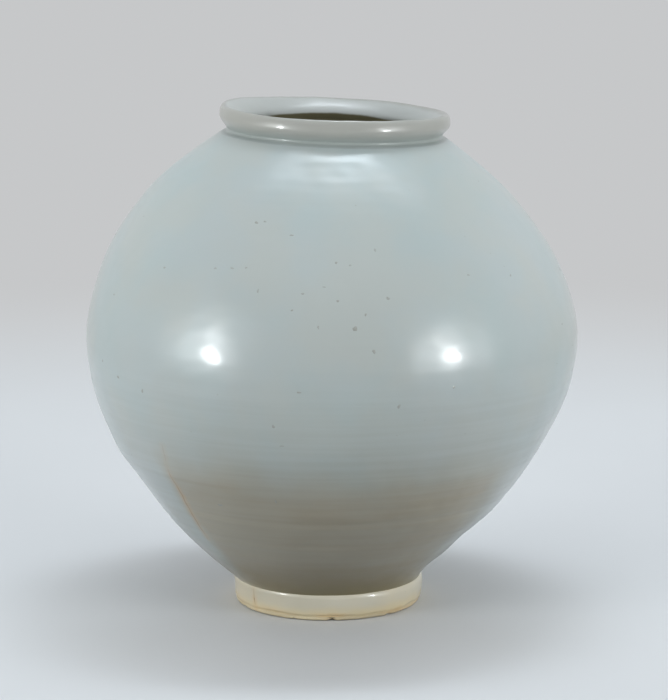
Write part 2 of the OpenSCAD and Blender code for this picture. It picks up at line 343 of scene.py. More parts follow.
def collar_line(s, depth):
    """The outside of neck, collar and lip, over the ridge and down the throat to a height over
    the seat: four cubic curves that share their tangents, and a straight."""
    slope, seat, top = s.shoulder_slope, s.seat_z, s.seat_z + s.collar_h
    foot = Vector((s.shoulder_r, s.shoulder_z))
    way = Vector((-math.cos(slope), math.sin(slope)))
    crease = s.collar_r + 0.0008
    return joined(curves([
        foot, foot + way * 0.0030, (crease, seat + 0.0006), (crease, seat + 0.0036),
        (crease, seat + 0.0056), (s.lip_r, seat + 0.0100), (s.lip_r, seat + 0.0138),
        (s.lip_r, top - 0.0036), (s.ridge_r + 0.0016, top - 0.0002), (s.ridge_r, top),
        (s.ridge_r - 0.0022, top + 0.0002), (s.throat_r, seat + 0.013),
        (s.throat_r, seat + 0.009)]), [(s.throat_r, seat + depth)])


def foot_line(s):
    """The outside of the foot ring above its bare edge, with a soft ledge under the bowl."""
    top = s.foot_h - s.slip
    return joined([(s.foot_r - 0.9 * MM, 2.6 * MM)],
                  cubic([(s.foot_r, top - 2.4 * MM), (s.foot_r, top - 0.6 * MM),
                         (s.foot_r - 0.2 * MM, top + 0.2 * MM), (s.root_r, top + 0.7 * MM)]))


# ---- meshes

def grid_faces(rows, cols, loop):
    """Corner numbers of a grid's four-sided faces. The columns close round the jar, and in a loop
    the last row also joins the first."""
    i = np.arange(rows if loop else rows - 1)[:, None]
    j = np.arange(cols)[None, :]
    up, side = (i + 1) % rows, (j + 1) % cols
    faces = np.stack([i * cols + j, i * cols + side, up * cols + side, up * cols + j], -1)
    return faces.reshape(-1, 4)


def new_mesh(name, places, faces, weld, turn_out=False):
    """A mesh from arrays of x, y and z and its faces' corner numbers. Points in one place may be
    welded, which closes the poles, and the faces turned outward."""
    mesh = bpy.data.meshes.new(name)
    mesh.from_pydata(np.stack(places, -1).reshape(-1, 3), [], faces)
    if weld:
        made = bmesh.new()
        made.from_mesh(mesh)
        bmesh.ops.remove_doubles(made, verts=made.verts, dist=1e-6)
        if turn_out:
            bmesh.ops.recalc_face_normals(made, faces=made.faces)
        made.to_mesh(mesh)
        made.free()
    return mesh


def surface(name, x, y, z, loop):
    """A mesh from a grid of points, closed round the jar. Its rows also close into a loop, or
    else its first and last rows are single points on the axis."""
    return new_mesh(name, (x, y, z), grid_faces(*x.shape, loop).tolist(), weld=not loop)


def turned(name, outer, inner, columns, shape=None, loop=True):
    """A section carried round the jar. The outer line runs upward and the inner line back down,
    both as radius and height; shape moves the points before they are leaned."""
    line = np.vstack([outer, inner[::-1]])
    a = np.linspace(0, 2 * np.pi, columns, endpoint=False)[None, :]
    r, v = line[:, :1] + 0 * a, line[:, 1:] + 0 * a
    if shape is not None:
        r, v = shape(r, v, a + 0 * r, len(outer))
    return surface(name, *lean(r, v, a), loop)


def coat_shape(s, line):
    """Moves a coat's outer rows off the outline by the relief, along the line's normals."""
    normal = outward(line)

    def shape(r, v, a, rows):
        off = relief(r[:rows], v[:rows], a[:rows], s.seam_z)
        r[:rows] += off * normal[:, :1]
        v[:rows] += off * normal[:, 1:]
        return r, v
    return shape


def coat_mesh(s, name, clay, rows):
    """A coat over a stretch of clay: the clay's line moved outward, and the line itself."""
    outer = even(clay, rows)
    inner = outer[np.unique(np.append(np.arange(0, rows, 8), rows - 1))]
    outer = outer + outward(outer) * s.coat
    return turned(name, outer, inner, FINE, coat_shape(s, outer))


def on_coat(s, v, a):
    """Points on the outside of the coat at heights v of the upright jar and angles a."""
    line = wall_line(s)
    line = line + outward(line) * s.coat
    normal = outward(line)
    r = np.interp(v, line[:, 1], line[:, 0])
    nr = np.interp(v, line[:, 1], normal[:, 0])
    nv = np.interp(v, line[:, 1], normal[:, 1])
    off = relief(r, v, a, s.seam_z)
    return r + off * nr, v + off * nv, nr, nv


# ---- shader groups

class Nodes:
    """Short ways to add nodes to a tree. Each takes numbers, colours or sockets, and gives the
    socket that holds its result."""

    def __init__(self, tree):
        self.tree = tree

    def add(self, kind, values, out=0, **settings):
        """A new node. Its inputs are filled by name or number, with a link from a socket."""
        made = self.tree.nodes.new(kind)
        for key, value in settings.items():
            setattr(made, key, value)
        for key, value in values.items():
            if isinstance(value, bpy.types.NodeSocket):
                self.tree.links.new(value, made.inputs[key])
            else:
                made.inputs[key].default_value = value
        return made.outputs[out]

    def maths(self, operation, *values):
        """A sum on numbers."""
        return self.add("ShaderNodeMath", dict(enumerate(values)), operation=operation)

    def times(self, a, b):
        """a times b."""
        return self.maths("MULTIPLY", a, b)

    def most(self, a, b):
        """The larger of a and b."""
        return self.maths("MAXIMUM", a, b)

    def scaled(self, value, by, plus):
        """The value times by, plus a third value."""
        return self.maths("MULTIPLY_ADD", value, by, plus)

    def vector(self, operation, *values, out="Vector"):
        """A sum on vectors."""
        return self.add("ShaderNodeVectorMath", dict(enumerate(values)), out, operation=operation)

    def stretched(self, value, by):
        """A vector times a number."""
        return self.add("ShaderNodeVectorMath", {0: value, "Scale": by}, operation="SCALE")

    def mixed(self, factor, a, b):
        """The colour a where the factor is 0 and b where it is 1."""
        a, b = (c if isinstance(c, bpy.types.NodeSocket) else (*c, 1.0) for c in (a, b))
        return self.add("ShaderNodeMix", {0: factor, 6: a, 7: b}, 2, data_type="RGBA")

    def stepped(self, value, low, high, to_low=0.0, to_high=1.0):
        """A smooth step of a value, from to_low at low to to_high at high."""
        return self.add("ShaderNodeMapRange",
                        {"Value": value, "From Min": low, "From Max": high,
                         "To Min": to_low, "To Max": to_high}, interpolation_type="SMOOTHSTEP")

    def noise(self, place, scale, detail=2.0, out=0):
        """Noise, as a number, or as a colour where out asks for it."""
        return self.add("ShaderNodeTexNoise", {"Vector": place, "Scale": scale, "Detail": detail},
                        out)

    def use(self, name, place, **values):
        """The output of a shader group."""
        values = {key.capitalize(): value for key, value in values.items()}
        return self.add("ShaderNodeGroup", {"Place": place, **values},
                        node_tree=bpy.data.node_groups[name])


def clouds_nodes(n, given):
    """Soft clouds: noise stretched to run from 0 to 1."""
    return n.stepped(n.noise(given["Place"], given["Scale"], 3.0), 0.36, 0.64)


def pinholes_nodes(n, given):
    """Dots: near the middle of a cell, and only in a share of the cells."""
    cell = n.add("ShaderNodeTexVoronoi", {"Vector": given["Place"], "Scale": given["Scale"]})
    dot = n.stepped(cell, given["Size"], n.times(given["Size"], 0.5))
    pick = n.add("ShaderNodeSeparateColor", {0: cell.node.outputs["Color"]})
    return n.times(dot, n.maths("LESS_THAN", pick, given["Share"]))


def wandering(n, given, depth):
    """The depth, moved up and down by noise of the given grain."""
    stray = n.maths("SUBTRACT", n.noise(given["Place"], given["Grain"], 3.0), 0.5)
    return n.scaled(stray, given["Wander"], depth)


def side_nodes(n, given):
    """1 on the side of a plane that its normal points to, with a soft, wandering edge."""
    away = n.vector("SUBTRACT", given["Place"], given["Point"])
    depth = n.vector("DOT_PRODUCT", away, given["Normal"], out="Value")
    low = n.times(given["Edge"], -1.0)
    return n.stepped(wandering(n, given, depth), low, given["Edge"])


def patch_nodes(n, given):
    """1 inside an ellipsoid, with a soft, wandering edge."""
    away = n.vector("SUBTRACT", given["Place"], given["Centre"])
    depth = n.vector("LENGTH", n.vector("DIVIDE", away, given["Reach"]), out="Value")
    return n.stepped(wandering(n, given, depth), 1.0, given["Core"])


def hairline_nodes(n, given):
    """1 on a line from one point to another, falling to 0 at its width, on wandering places."""
    stray = n.vector("SUBTRACT", n.noise(given["Place"], 90.0, out="Color"), (0.5, 0.5, 0.5))
    place = n.vector("ADD", given["Place"], n.stretched(stray, given["Wander"]))
    run = n.vector("SUBTRACT", given["End"], given["Start"])
    away = n.vector("SUBTRACT", place, given["Start"])
    share = n.maths("DIVIDE", n.vector("DOT_PRODUCT", away, run, out="Value"),
                    n.vector("DOT_PRODUCT", run, run, out="Value"))
    near = n.stretched(run, n.add("ShaderNodeClamp", {0: share}))
    gap = n.vector("DISTANCE", away, near, out="Value")
    return n.stepped(gap, given["Width"], n.times(given["Width"], 0.25))


def skin_nodes(n, given):
    """Height of the glaze's skin in millimetres: fine orange peel, broad ripples and the finest
    turning lines, which are noise squeezed flat so that it runs round the jar."""
    peel = n.noise(given["Place"], given["Peel"], 1.5)
    broad = n.noise(given["Place"], 45.0)
    flat = n.vector("MULTIPLY", given["Place"], (6.0, 6.0, 420.0))
    height = n.scaled(broad, 0.06, n.times(peel, 0.012))
    return n.scaled(n.noise(flat, 1.0), given["Lines"], height)


# The shader groups: name, what builds it, and its inputs with their defaults
GROUPS = (
    ("clouds", clouds_nodes, {"Scale": 10.0}),
    ("pinholes", pinholes_nodes, {"Scale": 150.0, "Size": 0.1, "Share": 0.1}),
    ("side", side_nodes, {"Point": (0, 0, 0), "Normal": (0, 0, 1), "Edge": 0.01, "Grain": 30.0,
                          "Wander": 0.02}),
    ("patch", patch_nodes, {"Centre": (0, 0, 0), "Reach": (1, 1, 1), "Core": 0.3, "Grain": 60.0,
                            "Wander": 0.5}),
    ("hairline", hairline_nodes, {"Start": (0, 0, 0), "End": (0, 0, 1), "Width": 0.001,
                                  "Wander": 0.002}),
    ("skin", skin_nodes, {"Peel": 260.0, "Lines": 0.01}))


def make_groups():
    """Builds each shader group once. Its inputs are a place and the named values, and its output
    is one number: a mask, or for the skin a height."""
    for name, build, inputs in GROUPS:
        if name in bpy.data.node_groups:
            continue
        tree = bpy.data.node_groups.new(name, "ShaderNodeTree")
        for label, default in {"Place": (0, 0, 0), **inputs}.items():
            kind = "NodeSocketVector" if isinstance(default, tuple) else "NodeSocketFloat"
            made = tree.interface.new_socket(name=label, in_out="INPUT", socket_type=kind)
            made.default_value = default
        tree.interface.new_socket(name="Height" if name == "skin" else "Mask", in_out="OUTPUT",
                                  socket_type="NodeSocketFloat")
        result = build(Nodes(tree), tree.nodes.new("NodeGroupInput").outputs)
        tree.links.new(result, tree.nodes.new("NodeGroupOutput").inputs[0])


# ---- finishes

# Zones on one side of a plane: a point and the normal of the plane, half the width of its soft
# edge, the scale of the noise that moves the edge, and how far it moves it
ZONES = {
    "shoulder": ((0, 0, 0.335), (0, 0, 1.0), 0.022, 20.0, 0.020),
    # The blush zone: partly a warm flush in the glaze, partly painted shade
    "blush_low": ((0, 0, 0.140), (-0.03, 0, -1.0), 0.032, 16.0, 0.034),
    "blush_left": ((0, 0, 0), (0.676, -0.737, 0), 0.010, 40.0, 0.012),
    "blush_right": ((0, 0, 0), (-0.62, -0.785, 0), 0.030, 14.0, 0.050),
    "turned": ((0, 0, 0.190), (0, 0, -1.0), 0.060, 16.0, 0.060),
    # Painted shade low on the body, darker at the front
    "low_shade": ((0, 0, 0.044), (0, 0, -1.0), 0.022, 20.0, 0.012),
    "front": ((0, 0.02, 0), (0, -1.0, 0), 0.06, 12.0, 0.05),
    # Painted shade under the lip: the lip_root band and the crease; the neck below them is paler
    # again
    "lip_root": ((0, 0, 0.3940), (-0.036, 0, -1.0), 0.0045, 40.0, 0.003),
    "crease": ((0, 0, 0.3921), (-0.036, 0, -1.0), 0.0012, 40.0, 0.002),
    "neck": ((0, 0, 0.3882), (-0.036, 0, -1.0), 0.0016, 40.0, 0.002),
    # throat: painted shade inside the mouth, below the lip
    "throat": ((0.0057, 0, 0.3891), (-0.050, 0.10, -1.0), 0.0009, 45.0, 0.0022),
    "foot_low": ((0, 0, 0.0085), (0, 0, -1.0), 0.005, 40.0, 0.010),
    "foot_edge": ((0, 0, 0.0055), (-0.030, 0, -1.0), 0.003, 55.0, 0.009),
}
ZONE_VALUES = ("point", "normal", "edge", "grain", "wander")

# Places on the leaning jar, in millimetres, along which the old crack and the foot's crack run,
# and how strong each stretch of them is
CRACK = ((-129, -133, 158), (-124, -121, 133), (-118, -115.5, 120), (-111, -105, 103),
         (-102, -94, 84), (-96, -87, 72))
CRACK_STRENGTHS = (0.3, 0.6, 1.0, 1.0, 0.8)
FOOT_CRACK = ((-59.8, -50.4, 1), (-60.6, -49.9, 12), (-60.4, -50.2, 21.5))
FOOT_CRACK_STRENGTHS = (1.0, 0.45)
CRACK_BROWN = (0.24, 0.13, 0.05)


def shade(base, by):
    """A colour made darker or paler."""
    return [by * value for value in base]


class Finish(Nodes):
    """A new material with its Principled shader, read at the object's own coordinates. Its base
    colour is tinted step by step, and end() links what has come of it."""

    def __init__(self, c, name, base=None, **shader):
        make_groups()
        self.c, self.base = c, base
        self.made = bpy.data.materials.new(name)
        self.made.use_nodes = True
        super().__init__(self.made.node_tree)
        self.shader = self.tree.nodes["Principled BSDF"]
        for key, value in {"Specular_IOR_Level": 0.25, **shader}.items():
            self.shader.inputs[key.replace("_", " ")].default_value = value
        self.place = self.add("ShaderNodeTexCoord", {}, "Object")

    def link(self, name, value):
        """Feeds one of the shader's sockets."""
        self.tree.links.new(value, self.shader.inputs[name])

    def rough(self, scale, low, high):
        """A roughness that noise moves between two values."""
        return self.stepped(self.noise(self.place, scale), 0.3, 0.7, low, high)

    def mask(self, name, **values):
        """A shader group's output at the object's own coordinates."""
        return self.use(name, self.place, **values)

    def zone(self, name):
        """1 in a named zone and 0 outside it."""
        return self.mask("side", **dict(zip(ZONE_VALUES, ZONES[name])))

    def clouds(self, operation, by, scale):
        """Clouds at places that are first shifted or stretched."""
        return self.use("clouds", self.vector(operation, self.place, by), scale=scale)

    def tint(self, mask, tint, share=1.0):
        """Mixes a share of a colour into the base where the mask is 1."""
        mask = mask if share == 1.0 else self.times(mask, share)
        self.base = self.mixed(mask, self.base, tint)

    def ground(self, base, cool, warm):
        """A glaze ground: cool and warm clouds over the base colour, and a few dark pinholes."""
        self.base = base
        self.tint(self.mask("clouds", scale=9.0), cool, share=0.7)
        self.tint(self.clouds("ADD", (0.31, 0.17, 0.05), 16.0), warm, share=0.5)
        dots = self.mask("pinholes", scale=95.0, size=0.075, share=0.10)
        self.tint(dots, self.c.iron, share=0.55)

    def crack(self, line, strengths, depth):
        """A brown hairline with a stained halo along a line of places. Gives its mask."""
        crack, halo = 0.0, 0.0
        for start, end, strength in zip(line, line[1:], strengths):
            ends = dict(start=Vector(start) * MM, end=Vector(end) * MM)
            thin = self.mask("hairline", width=0.0010, wander=0.003, **ends)
            wide = self.mask("hairline", width=0.0055, wander=0.006, **ends)
            crack = self.most(crack, self.times(thin, strength))
            halo = self.most(halo, self.times(wide, strength))
        self.tint(halo, self.c.rust, share=0.24)
        self.tint(crack, CRACK_BROWN, share=depth)
        return crack

    def foot_stains(self, strength):
        """Iron stain on the foot, low down and in patches, and beside its crack on the left of
        the front. Gives the crack's mask."""
        patches = self.scaled(self.mask("clouds", scale=22.0), 0.55 * strength, 0.08 * strength)
        self.tint(self.times(self.zone("foot_edge"), patches), self.c.rust)
        return self.crack(FOOT_CRACK, FOOT_CRACK_STRENGTHS, 0.75)

    def end(self, rough, height=None, distance=MM):
        """Links the colour, the roughness and the bump, and gives the material."""
        self.link("Base Color", self.base)
        self.link("Roughness", rough)
        if height is not None:
            self.link("Normal", self.add("ShaderNodeBump", {"Height": height, "Strength": 1.0,
                                                            "Distance": distance}))
        return self.made


def body_finish(c):
    """Glaze of the body: clouds, the browned zone low on the front, partly a warm flush and partly
    painted shade, thin streaks of turning, painted shade above the foot that is darkest at the
    front, and the brown crack on the left. Its shoulder is less glossy."""
    f = Finish(c, "body_glaze", Coat_Roughness=0.16)
    f.ground(c.glaze, c.cool, c.warm)
    f.link("Coat Weight", f.scaled(f.zone("shoulder"), -0.45, 0.75))
    # The browned zone: partly a warm flush in the glaze, partly painted shade
    browned = f.times(f.times(f.zone("blush_low"), f.zone("blush_left")), f.zone("blush_right"))
    streaks = f.scaled(f.clouds("MULTIPLY", (1.0, 1.0, 3.5), 12.0), 0.15, 0.85)
    f.tint(f.times(browned, streaks), c.blush_and_shade)
    turning = f.times(f.clouds("MULTIPLY", (0.5, 0.5, 22.0), 11.0), f.zone("turned"))
    f.tint(turning, c.shade_and_streaks, share=0.08)
    # Painted shade above the foot, darkest at the front centre
    f.tint(f.times(f.zone("low_shade"), f.scaled(f.zone("front"), 0.56, 0.32)), c.shade_and_streaks)
    crack = f.crack(CRACK, CRACK_STRENGTHS, 0.5)
    height = f.scaled(crack, -0.05, f.mask("skin", peel=260.0, lines=0.022))
    return f.end(f.rough(30.0, 0.30, 0.42), height)


def lip_finish(c):
    """Glaze of collar and lip: a little warmer and thinner, with painted light that makes the
    rolled edge and the slant inside it paler, and painted shade in the throat and the crease. All
    of these are duller."""
    f = Finish(c, "lip_glaze", Coat_Roughness=0.09)
    f.ground(c.lip, (0.360, 0.364, 0.338), (0.386, 0.382, 0.345))
    slant = f.mask("patch", centre=(0.0060, 0, 0.415), reach=(0.0905, 0.0905, 0.05), core=0.96,
                   wander=0.02)
    within = f.mask("patch", centre=(0.0057, 0, 0.39), reach=(0.081, 0.081, 1.0), core=0.985,
                    wander=0.0)
    throat = f.times(f.zone("throat"), within)
    dull = 0.0
    # Painted shade under the lip: a greener band on the lip's foot and a dark line in the crease,
    # then the neck paler below
    for mask, tint, dulling in ((f.zone("lip_root"), (0.340, 0.378, 0.362), 0.0),
                                (f.zone("crease"), (0.295, 0.325, 0.308), 0.6),
                                (f.zone("neck"), (0.345, 0.385, 0.378), 0.6),
                                # Painted light: the up-facing slant and rolled edge made paler
                                (slant, (0.450, 0.465, 0.445), 0.70),
                                # Painted shade in the throat
                                (throat, c.inside, 0.85)):
        f.tint(mask, tint)
        dull = f.most(dull, f.times(mask, dulling))
    f.link("Coat Weight", f.scaled(dull, -0.65, 0.65))
    rough = f.most(f.rough(30.0, 0.28, 0.38), f.times(throat, 0.7))
    return f.end(rough, f.mask("skin", peel=260.0, lines=0.012))


def foot_finish(c):
    """Glaze of the foot ring: cream, thin, stained at its edge."""
    f = Finish(c, "foot_glaze", Coat_Weight=0.75, Coat_Roughness=0.10)
    f.ground(c.foot, (0.56, 0.53, 0.44), (0.60, 0.52, 0.37))
    f.tint(f.zone("foot_low"), (0.60, 0.50, 0.30), share=0.8)
    crack = f.foot_stains(1.0)
    height = f.scaled(crack, -0.12, f.mask("skin", peel=300.0, lines=0.02))
    return f.end(f.rough(60.0, 0.32, 0.50), height)


def inside_finish(c, name, ground):
    """Glaze inside the jar and in the well: clouds of one ground colour, with grit in it."""
    f = Finish(c, name, Coat_Weight=0.2, Coat_Roughness=0.25)
    f.ground(ground, shade(ground, 1.3), shade(ground, 0.75))
    grit = f.mask("pinholes", scale=210.0, size=0.14, share=0.22)
    f.tint(grit, c.rust, share=0.5)
    height = f.scaled(grit, 0.08, f.mask("skin", lines=0.05))
    return f.end(f.rough(40.0, 0.50, 0.68), height)


def dry_finish(c, name, base):
    """Bare fired clay or slip: dry and sandy, stained at the foot's edge."""
    f = Finish(c, name, base, Coat_Weight=0.0)
    f.tint(f.mask("clouds", scale=30.0), shade(base, 0.82))
    grains = f.mask("pinholes", scale=420.0, size=0.25, share=0.35)
    f.tint(grains, (0.30, 0.20, 0.11), share=0.35)
    f.foot_stains(0.4)
    height = f.scaled(grains, 0.06, f.times(f.noise(f.place, 900.0, 3.0), 0.10))
    return f.end(f.rough(200.0, 0.72, 0.92), height)


def iron_finish(c):
    """Iron specks: clouds of their own grey brown and of the glaze that thins it."""
    f = Finish(c, "iron", c.iron, Coat_Weight=1.0, Coat_Roughness=0.08)
    thinned = [0.35 * glaze + 0.65 * iron for glaze, iron in zip(c.glaze, c.iron)]
    f.tint(f.mask("clouds", scale=120.0), thinned)
    return f.end(f.rough(300.0, 0.35, 0.6), f.noise(f.place, 500.0), 0.02 * MM)


# ---- pieces

def add_piece(context, mesh, finish, nodes=(), sharp=35):
    """Puts a mesh into the scene as a piece of the same name that rides on the jar."""
    mesh.polygons.foreach_set("use_smooth", np.ones(len(mesh.polygons), bool))
    mesh.set_sharp_from_angle(angle=math.radians(sharp))
    mesh.materials.append(finish)
    piece = bpy.data.objects.new(mesh.name, mesh)
    context.scene.collection.objects.link(piece)
    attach(piece, BODY)
    if nodes:
        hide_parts(*nodes)


class Undone:
    """What the operators share: each can be undone."""
    bl_options = {"REGISTER", "UNDO"}


def chosen(context):
    """The sizes and colours that are set in the scene."""
    return context.scene.jar_sizes, context.scene.jar_colours


def add_dry(context, mesh, slot, nodes):
    """Adds a piece of bare clay or of slip. Each of the two finishes is built at its first use."""
    c, name = context.scene.jar_colours, {"clay": "bare_clay", "slip": "fired_slip"}[slot]
    finish = bpy.data.materials.get(name) or dry_finish(c, name, getattr(c, slot))
    add_piece(context, mesh, finish, nodes)


class JAR_OT_body_coats(Undone, bpy.types.Operator):
    """Glaze on the two bowls, outside, parted at the belly seam"""
    bl_idname = "jar.body_coats"
    bl_label = "Body Coats"

    def execute(self, context):
        s, c = chosen(context)
        wall, glaze = wall_line(s), body_finish(c)
        for name, low, high, rows in (("coat_lower", s.foot_h, s.seam_z, 150),
                                      ("coat_upper", s.seam_z, s.shoulder_z, 158)):
            mesh = coat_mesh(s, name, between(wall, low, high), rows)
            add_piece(context, mesh, glaze, ["outer_glaze"])
        return {"FINISHED"}


class JAR_OT_mouth_coat(Undone, bpy.types.Operator):
    """Glaze on neck, collar and lip, into the throat"""
    bl_idname = "jar.mouth_coat"
    bl_label = "Mouth Coat"

    def execute(self, context):
        s, c = chosen(context)
        mesh = coat_mesh(s, "coat_mouth", collar_line(s, 0.005), 110)
        add_piece(context, mesh, lip_finish(c), ["outer_glaze"])
        return {"FINISHED"}


class JAR_OT_foot_coat(Undone, bpy.types.Operator):
    """Glaze on the side of the foot ring, with a wandering lower edge"""
    bl_idname = "jar.foot_coat"
    bl_label = "Foot Coat"

    def execute(self, context):
        s, c = chosen(context)
        clay = even(foot_line(s), 44)
        thinned = 0.06 + 0.94 * ramp(along(clay), 0, 3.0 * MM)
        outer = clay + outward(clay) * (s.coat * thinned)[:, None]

        def shape(r, v, a, rows):
            edge = 1 - ramp(v, 2.6 * MM, 8 * MM)
            x, y = r * np.cos(a), r * np.sin(a)
            v = v + edge * (0.8 * lumps(x, y, v, 21, 7, 0.02, 0.06) + 0.3) * MM
            r[:rows] += 0.16 * MM * lumps(x, y, v, 22, 9, 0.012, 0.05)[:rows]
            return r, v
        mesh = turned("coat_foot", outer, clay, FINE, shape)
        add_piece(context, mesh, foot_finish(c), ["outer_glaze"])
        return {"FINISHED"}


class JAR_OT_inside_coat(Undone, bpy.types.Operator):
    """Glaze inside: floor, walls, the bead over the join and the throat"""
    bl_idname = "jar.inside_coat"
    bl_label = "Inside Coat"

    def execute(self, context):
        s, c = chosen(context)
        line = above_floor(inner_line(s, even(wall_line(s), 400)), s.seat_z - 0.012)
        end, way = line[0], line[1] - line[0]
        floor = cubic([(0, s.floor_z), (end[0] * FLAT, s.floor_z),
                       end - way / np.linalg.norm(way) * 0.022, end])
        throat = [(s.throat_r, s.seat_z - 0.003), (s.throat_r, s.seat_z + 0.0049)]
        clay = even(joined(floor, line, throat), 170)
        mesh = turned("coat_inside", clay, clay - outward(clay) * s.coat, MEDIUM, loop=False)
        # The dark inside colour is partly painted shade
        finish = inside_finish(c, "inside_glaze", c.inside)
        add_piece(context, mesh, finish, ["inner_glaze"])
        return {"FINISHED"}


# Chips on the foot's resting edge: angle in degrees from the front, width and depth in mm
CHIPS = ((2.6, 2.6, 1.5), (40.8, 2.0, 1.1), (-21, 1.4, 0.6), (-64, 1.8, 0.8), (118, 3.2, 1.4),
         (171, 1.6, 0.8), (-139, 2.4, 1.2))


class JAR_OT_foot(Undone, bpy.types.Operator):
    """The foot ring's bare clay, chipped at its resting edge, and the slip over it"""
    bl_idname = "jar.foot"
    bl_label = "Foot Ring"

    def execute(self, context):
        s = context.scene.jar_sizes
        top, inside, outside = s.foot_h - s.slip, s.foot_r - s.foot_w, s.foot_r - MM
        edge = 2 * MM
        turn = np.radians(np.arange(0, 91, 9))
        across, up = edge * np.sin(turn), edge * np.cos(turn)
        outer = np.vstack([np.stack([inside + edge - up, edge - across], -1),
                           np.stack([outside - edge + across, edge - up], -1),
                           even(np.array([(outside, edge + 0.4 * MM), (s.foot_r, top)]), 20)])
        back = even(np.array([(inside, edge + 0.4 * MM), (inside, top)]), 8)

        def shape(r, v, a, rows):
            near = 1 - ramp(v, 1.5 * MM, 4.5 * MM)
            worn = near * ramp(r, s.foot_r - 4.5 * MM, s.foot_r - 2 * MM)
            for at, width, depth in CHIPS:
                gap = (a - math.radians(at - 90) + np.pi) % (2 * np.pi) - np.pi
                chip = bump(gap * s.foot_r / MM, 0, width) * worn * depth * MM
                r, v = r - 0.8 * chip, v + chip
            x, y = r * np.cos(a), r * np.sin(a)
            rough = 0.10 * lumps(x, y, v, 31, 12, 0.004, 0.012) + 0.12 * lumps(x, y, v, 32)
            return r, np.maximum(0, v + (0.10 + rough) * near * MM)
        mesh = turned("foot_ring_clay", outer, back, FINE, shape)
        add_dry(context, mesh, "clay", ["foot_ring"])
        over = [(inside, top), (s.foot_r, top), (s.root_r, s.foot_h)]
        mesh = turned("foot_join", over, [(inside, s.foot_h)], MEDIUM)
        add_dry(context, mesh, "slip", ["foot_slip"])
        return {"FINISHED"}


class JAR_OT_well_coat(Undone, bpy.types.Operator):
    """Glaze in the well under the foot, with kiln grit stuck in it"""
    bl_idname = "jar.well_coat"
    bl_label = "Well Coat"

    def execute(self, context):
        s, c = chosen(context)
        inside, edge, corner = s.foot_r - s.foot_w, 3 * MM, 2.5 * MM
        side, roof, clay = inside - s.coat, s.well - s.coat, inside - 0.02 * MM
        below = joined([(0, roof)], cubic([(inside - corner, roof), (side, roof), (side, roof),
                                           (side, s.well - corner)], 12), [(side, edge)])
        above = [(0, s.well), (clay, s.well), (clay, edge)]

        def shape(r, v, a, rows):
            x, y = r * np.cos(a), r * np.sin(a)
            skin = (0.12 * lumps(x, y, v, 41, 12, 0.006, 0.02)
                    + 0.10 * lumps(x, y, v, 42, 9, 0.02, 0.05)) * ramp(r, 0, 6 * MM)
            v[:rows] -= (0.15 + skin[:rows]) * MM * (v[:rows] > s.well - 2 * s.coat)
            return r, v
        mesh = turned("well_coat", even(below, 60), above, MEDIUM, shape, loop=False)
        finish = inside_finish(c, "well_glaze", c.well)
        add_piece(context, mesh, finish, ["foot_well_glaze"])
        return {"FINISHED"}


class JAR_OT_bowls(Undone, bpy.types.Operator):
    """The two thrown bowls of bare clay inside the coats, and the slip between them"""
    bl_idname = "jar.bowls"
    bl_label = "Thrown Bowls"

    def execute(self, context):
        s = context.scene.jar_sizes
        wall, half, boss = wall_line(s), s.slip / 2, s.foot_r - s.foot_w
        low, high = s.seam_z - half, s.seam_z + half
        outside = even(wall, 400)
        inside = outside - outward(outside) * thickness(s, outside)[:, None]

        low_in = even(above_floor(inside, low), 40)
        end = low_in[0]
        floor = cubic([(0, s.floor_z), (end[0] * FLAT, s.floor_z),
                       (end[0] - 0.019, end[1] - 0.010), end], 20)
        low_out = np.vstack([[(0, s.well), (boss, s.well), (boss, s.foot_h)],
                             even(between(wall, s.foot_h, low), 50)])
        mesh = turned("lower_bowl_clay", low_out, joined(floor, low_in), COARSE, loop=False)
        add_dry(context, mesh, "clay", ["lower_bowl"])

        high_in = np.vstack([even(between(inside, high, s.shoulder_z - 0.009), 60),
                             [(s.throat_r, s.shoulder_z - 0.002), (s.throat_r, s.shoulder_z)]])
        high_out = even(between(wall, high, s.shoulder_z), 60)
        add_dry(context, turned("upper_bowl_clay", high_out, high_in, COARSE), "clay",
                ["upper_bowl"])

        spread = even(between(outside, s.seam_z - BEAD_REACH, s.seam_z + BEAD_REACH), 13)
        mesh = turned("belly_join", even(between(wall, low, high), 3), inner_line(s, spread),
                      COARSE)
        add_dry(context, mesh, "slip", ["belly_slip"])
        return {"FINISHED"}


class JAR_OT_collar(Undone, bpy.types.Operator):
    """The collar of bare clay inside its coat, and the slip under it"""
    bl_idname = "jar.collar"
    bl_label = "Mouth Collar"

    def execute(self, context):
        s = context.scene.jar_sizes
        line = collar_line(s, s.slip)
        parting = np.argmax(line[:, 1] > s.seat_z + 0.0052)
        low, high = line[:parting], line[parting:]
        mesh = turned("mouth_clay", even(high, 60)[:-1], high[-1:], COARSE)
        add_dry(context, mesh, "clay", ["mouth_collar"])
        seat = s.seat_z + s.slip
        under = [(s.throat_r, s.shoulder_z + 0.1 * MM), (s.throat_r, seat),
                 (s.collar_r - 0.2 * MM, seat)]
        add_dry(context, turned("neck_join", even(low, 12), under, COARSE), "slip",
                ["neck_slip"])
        return {"FINISHED"}


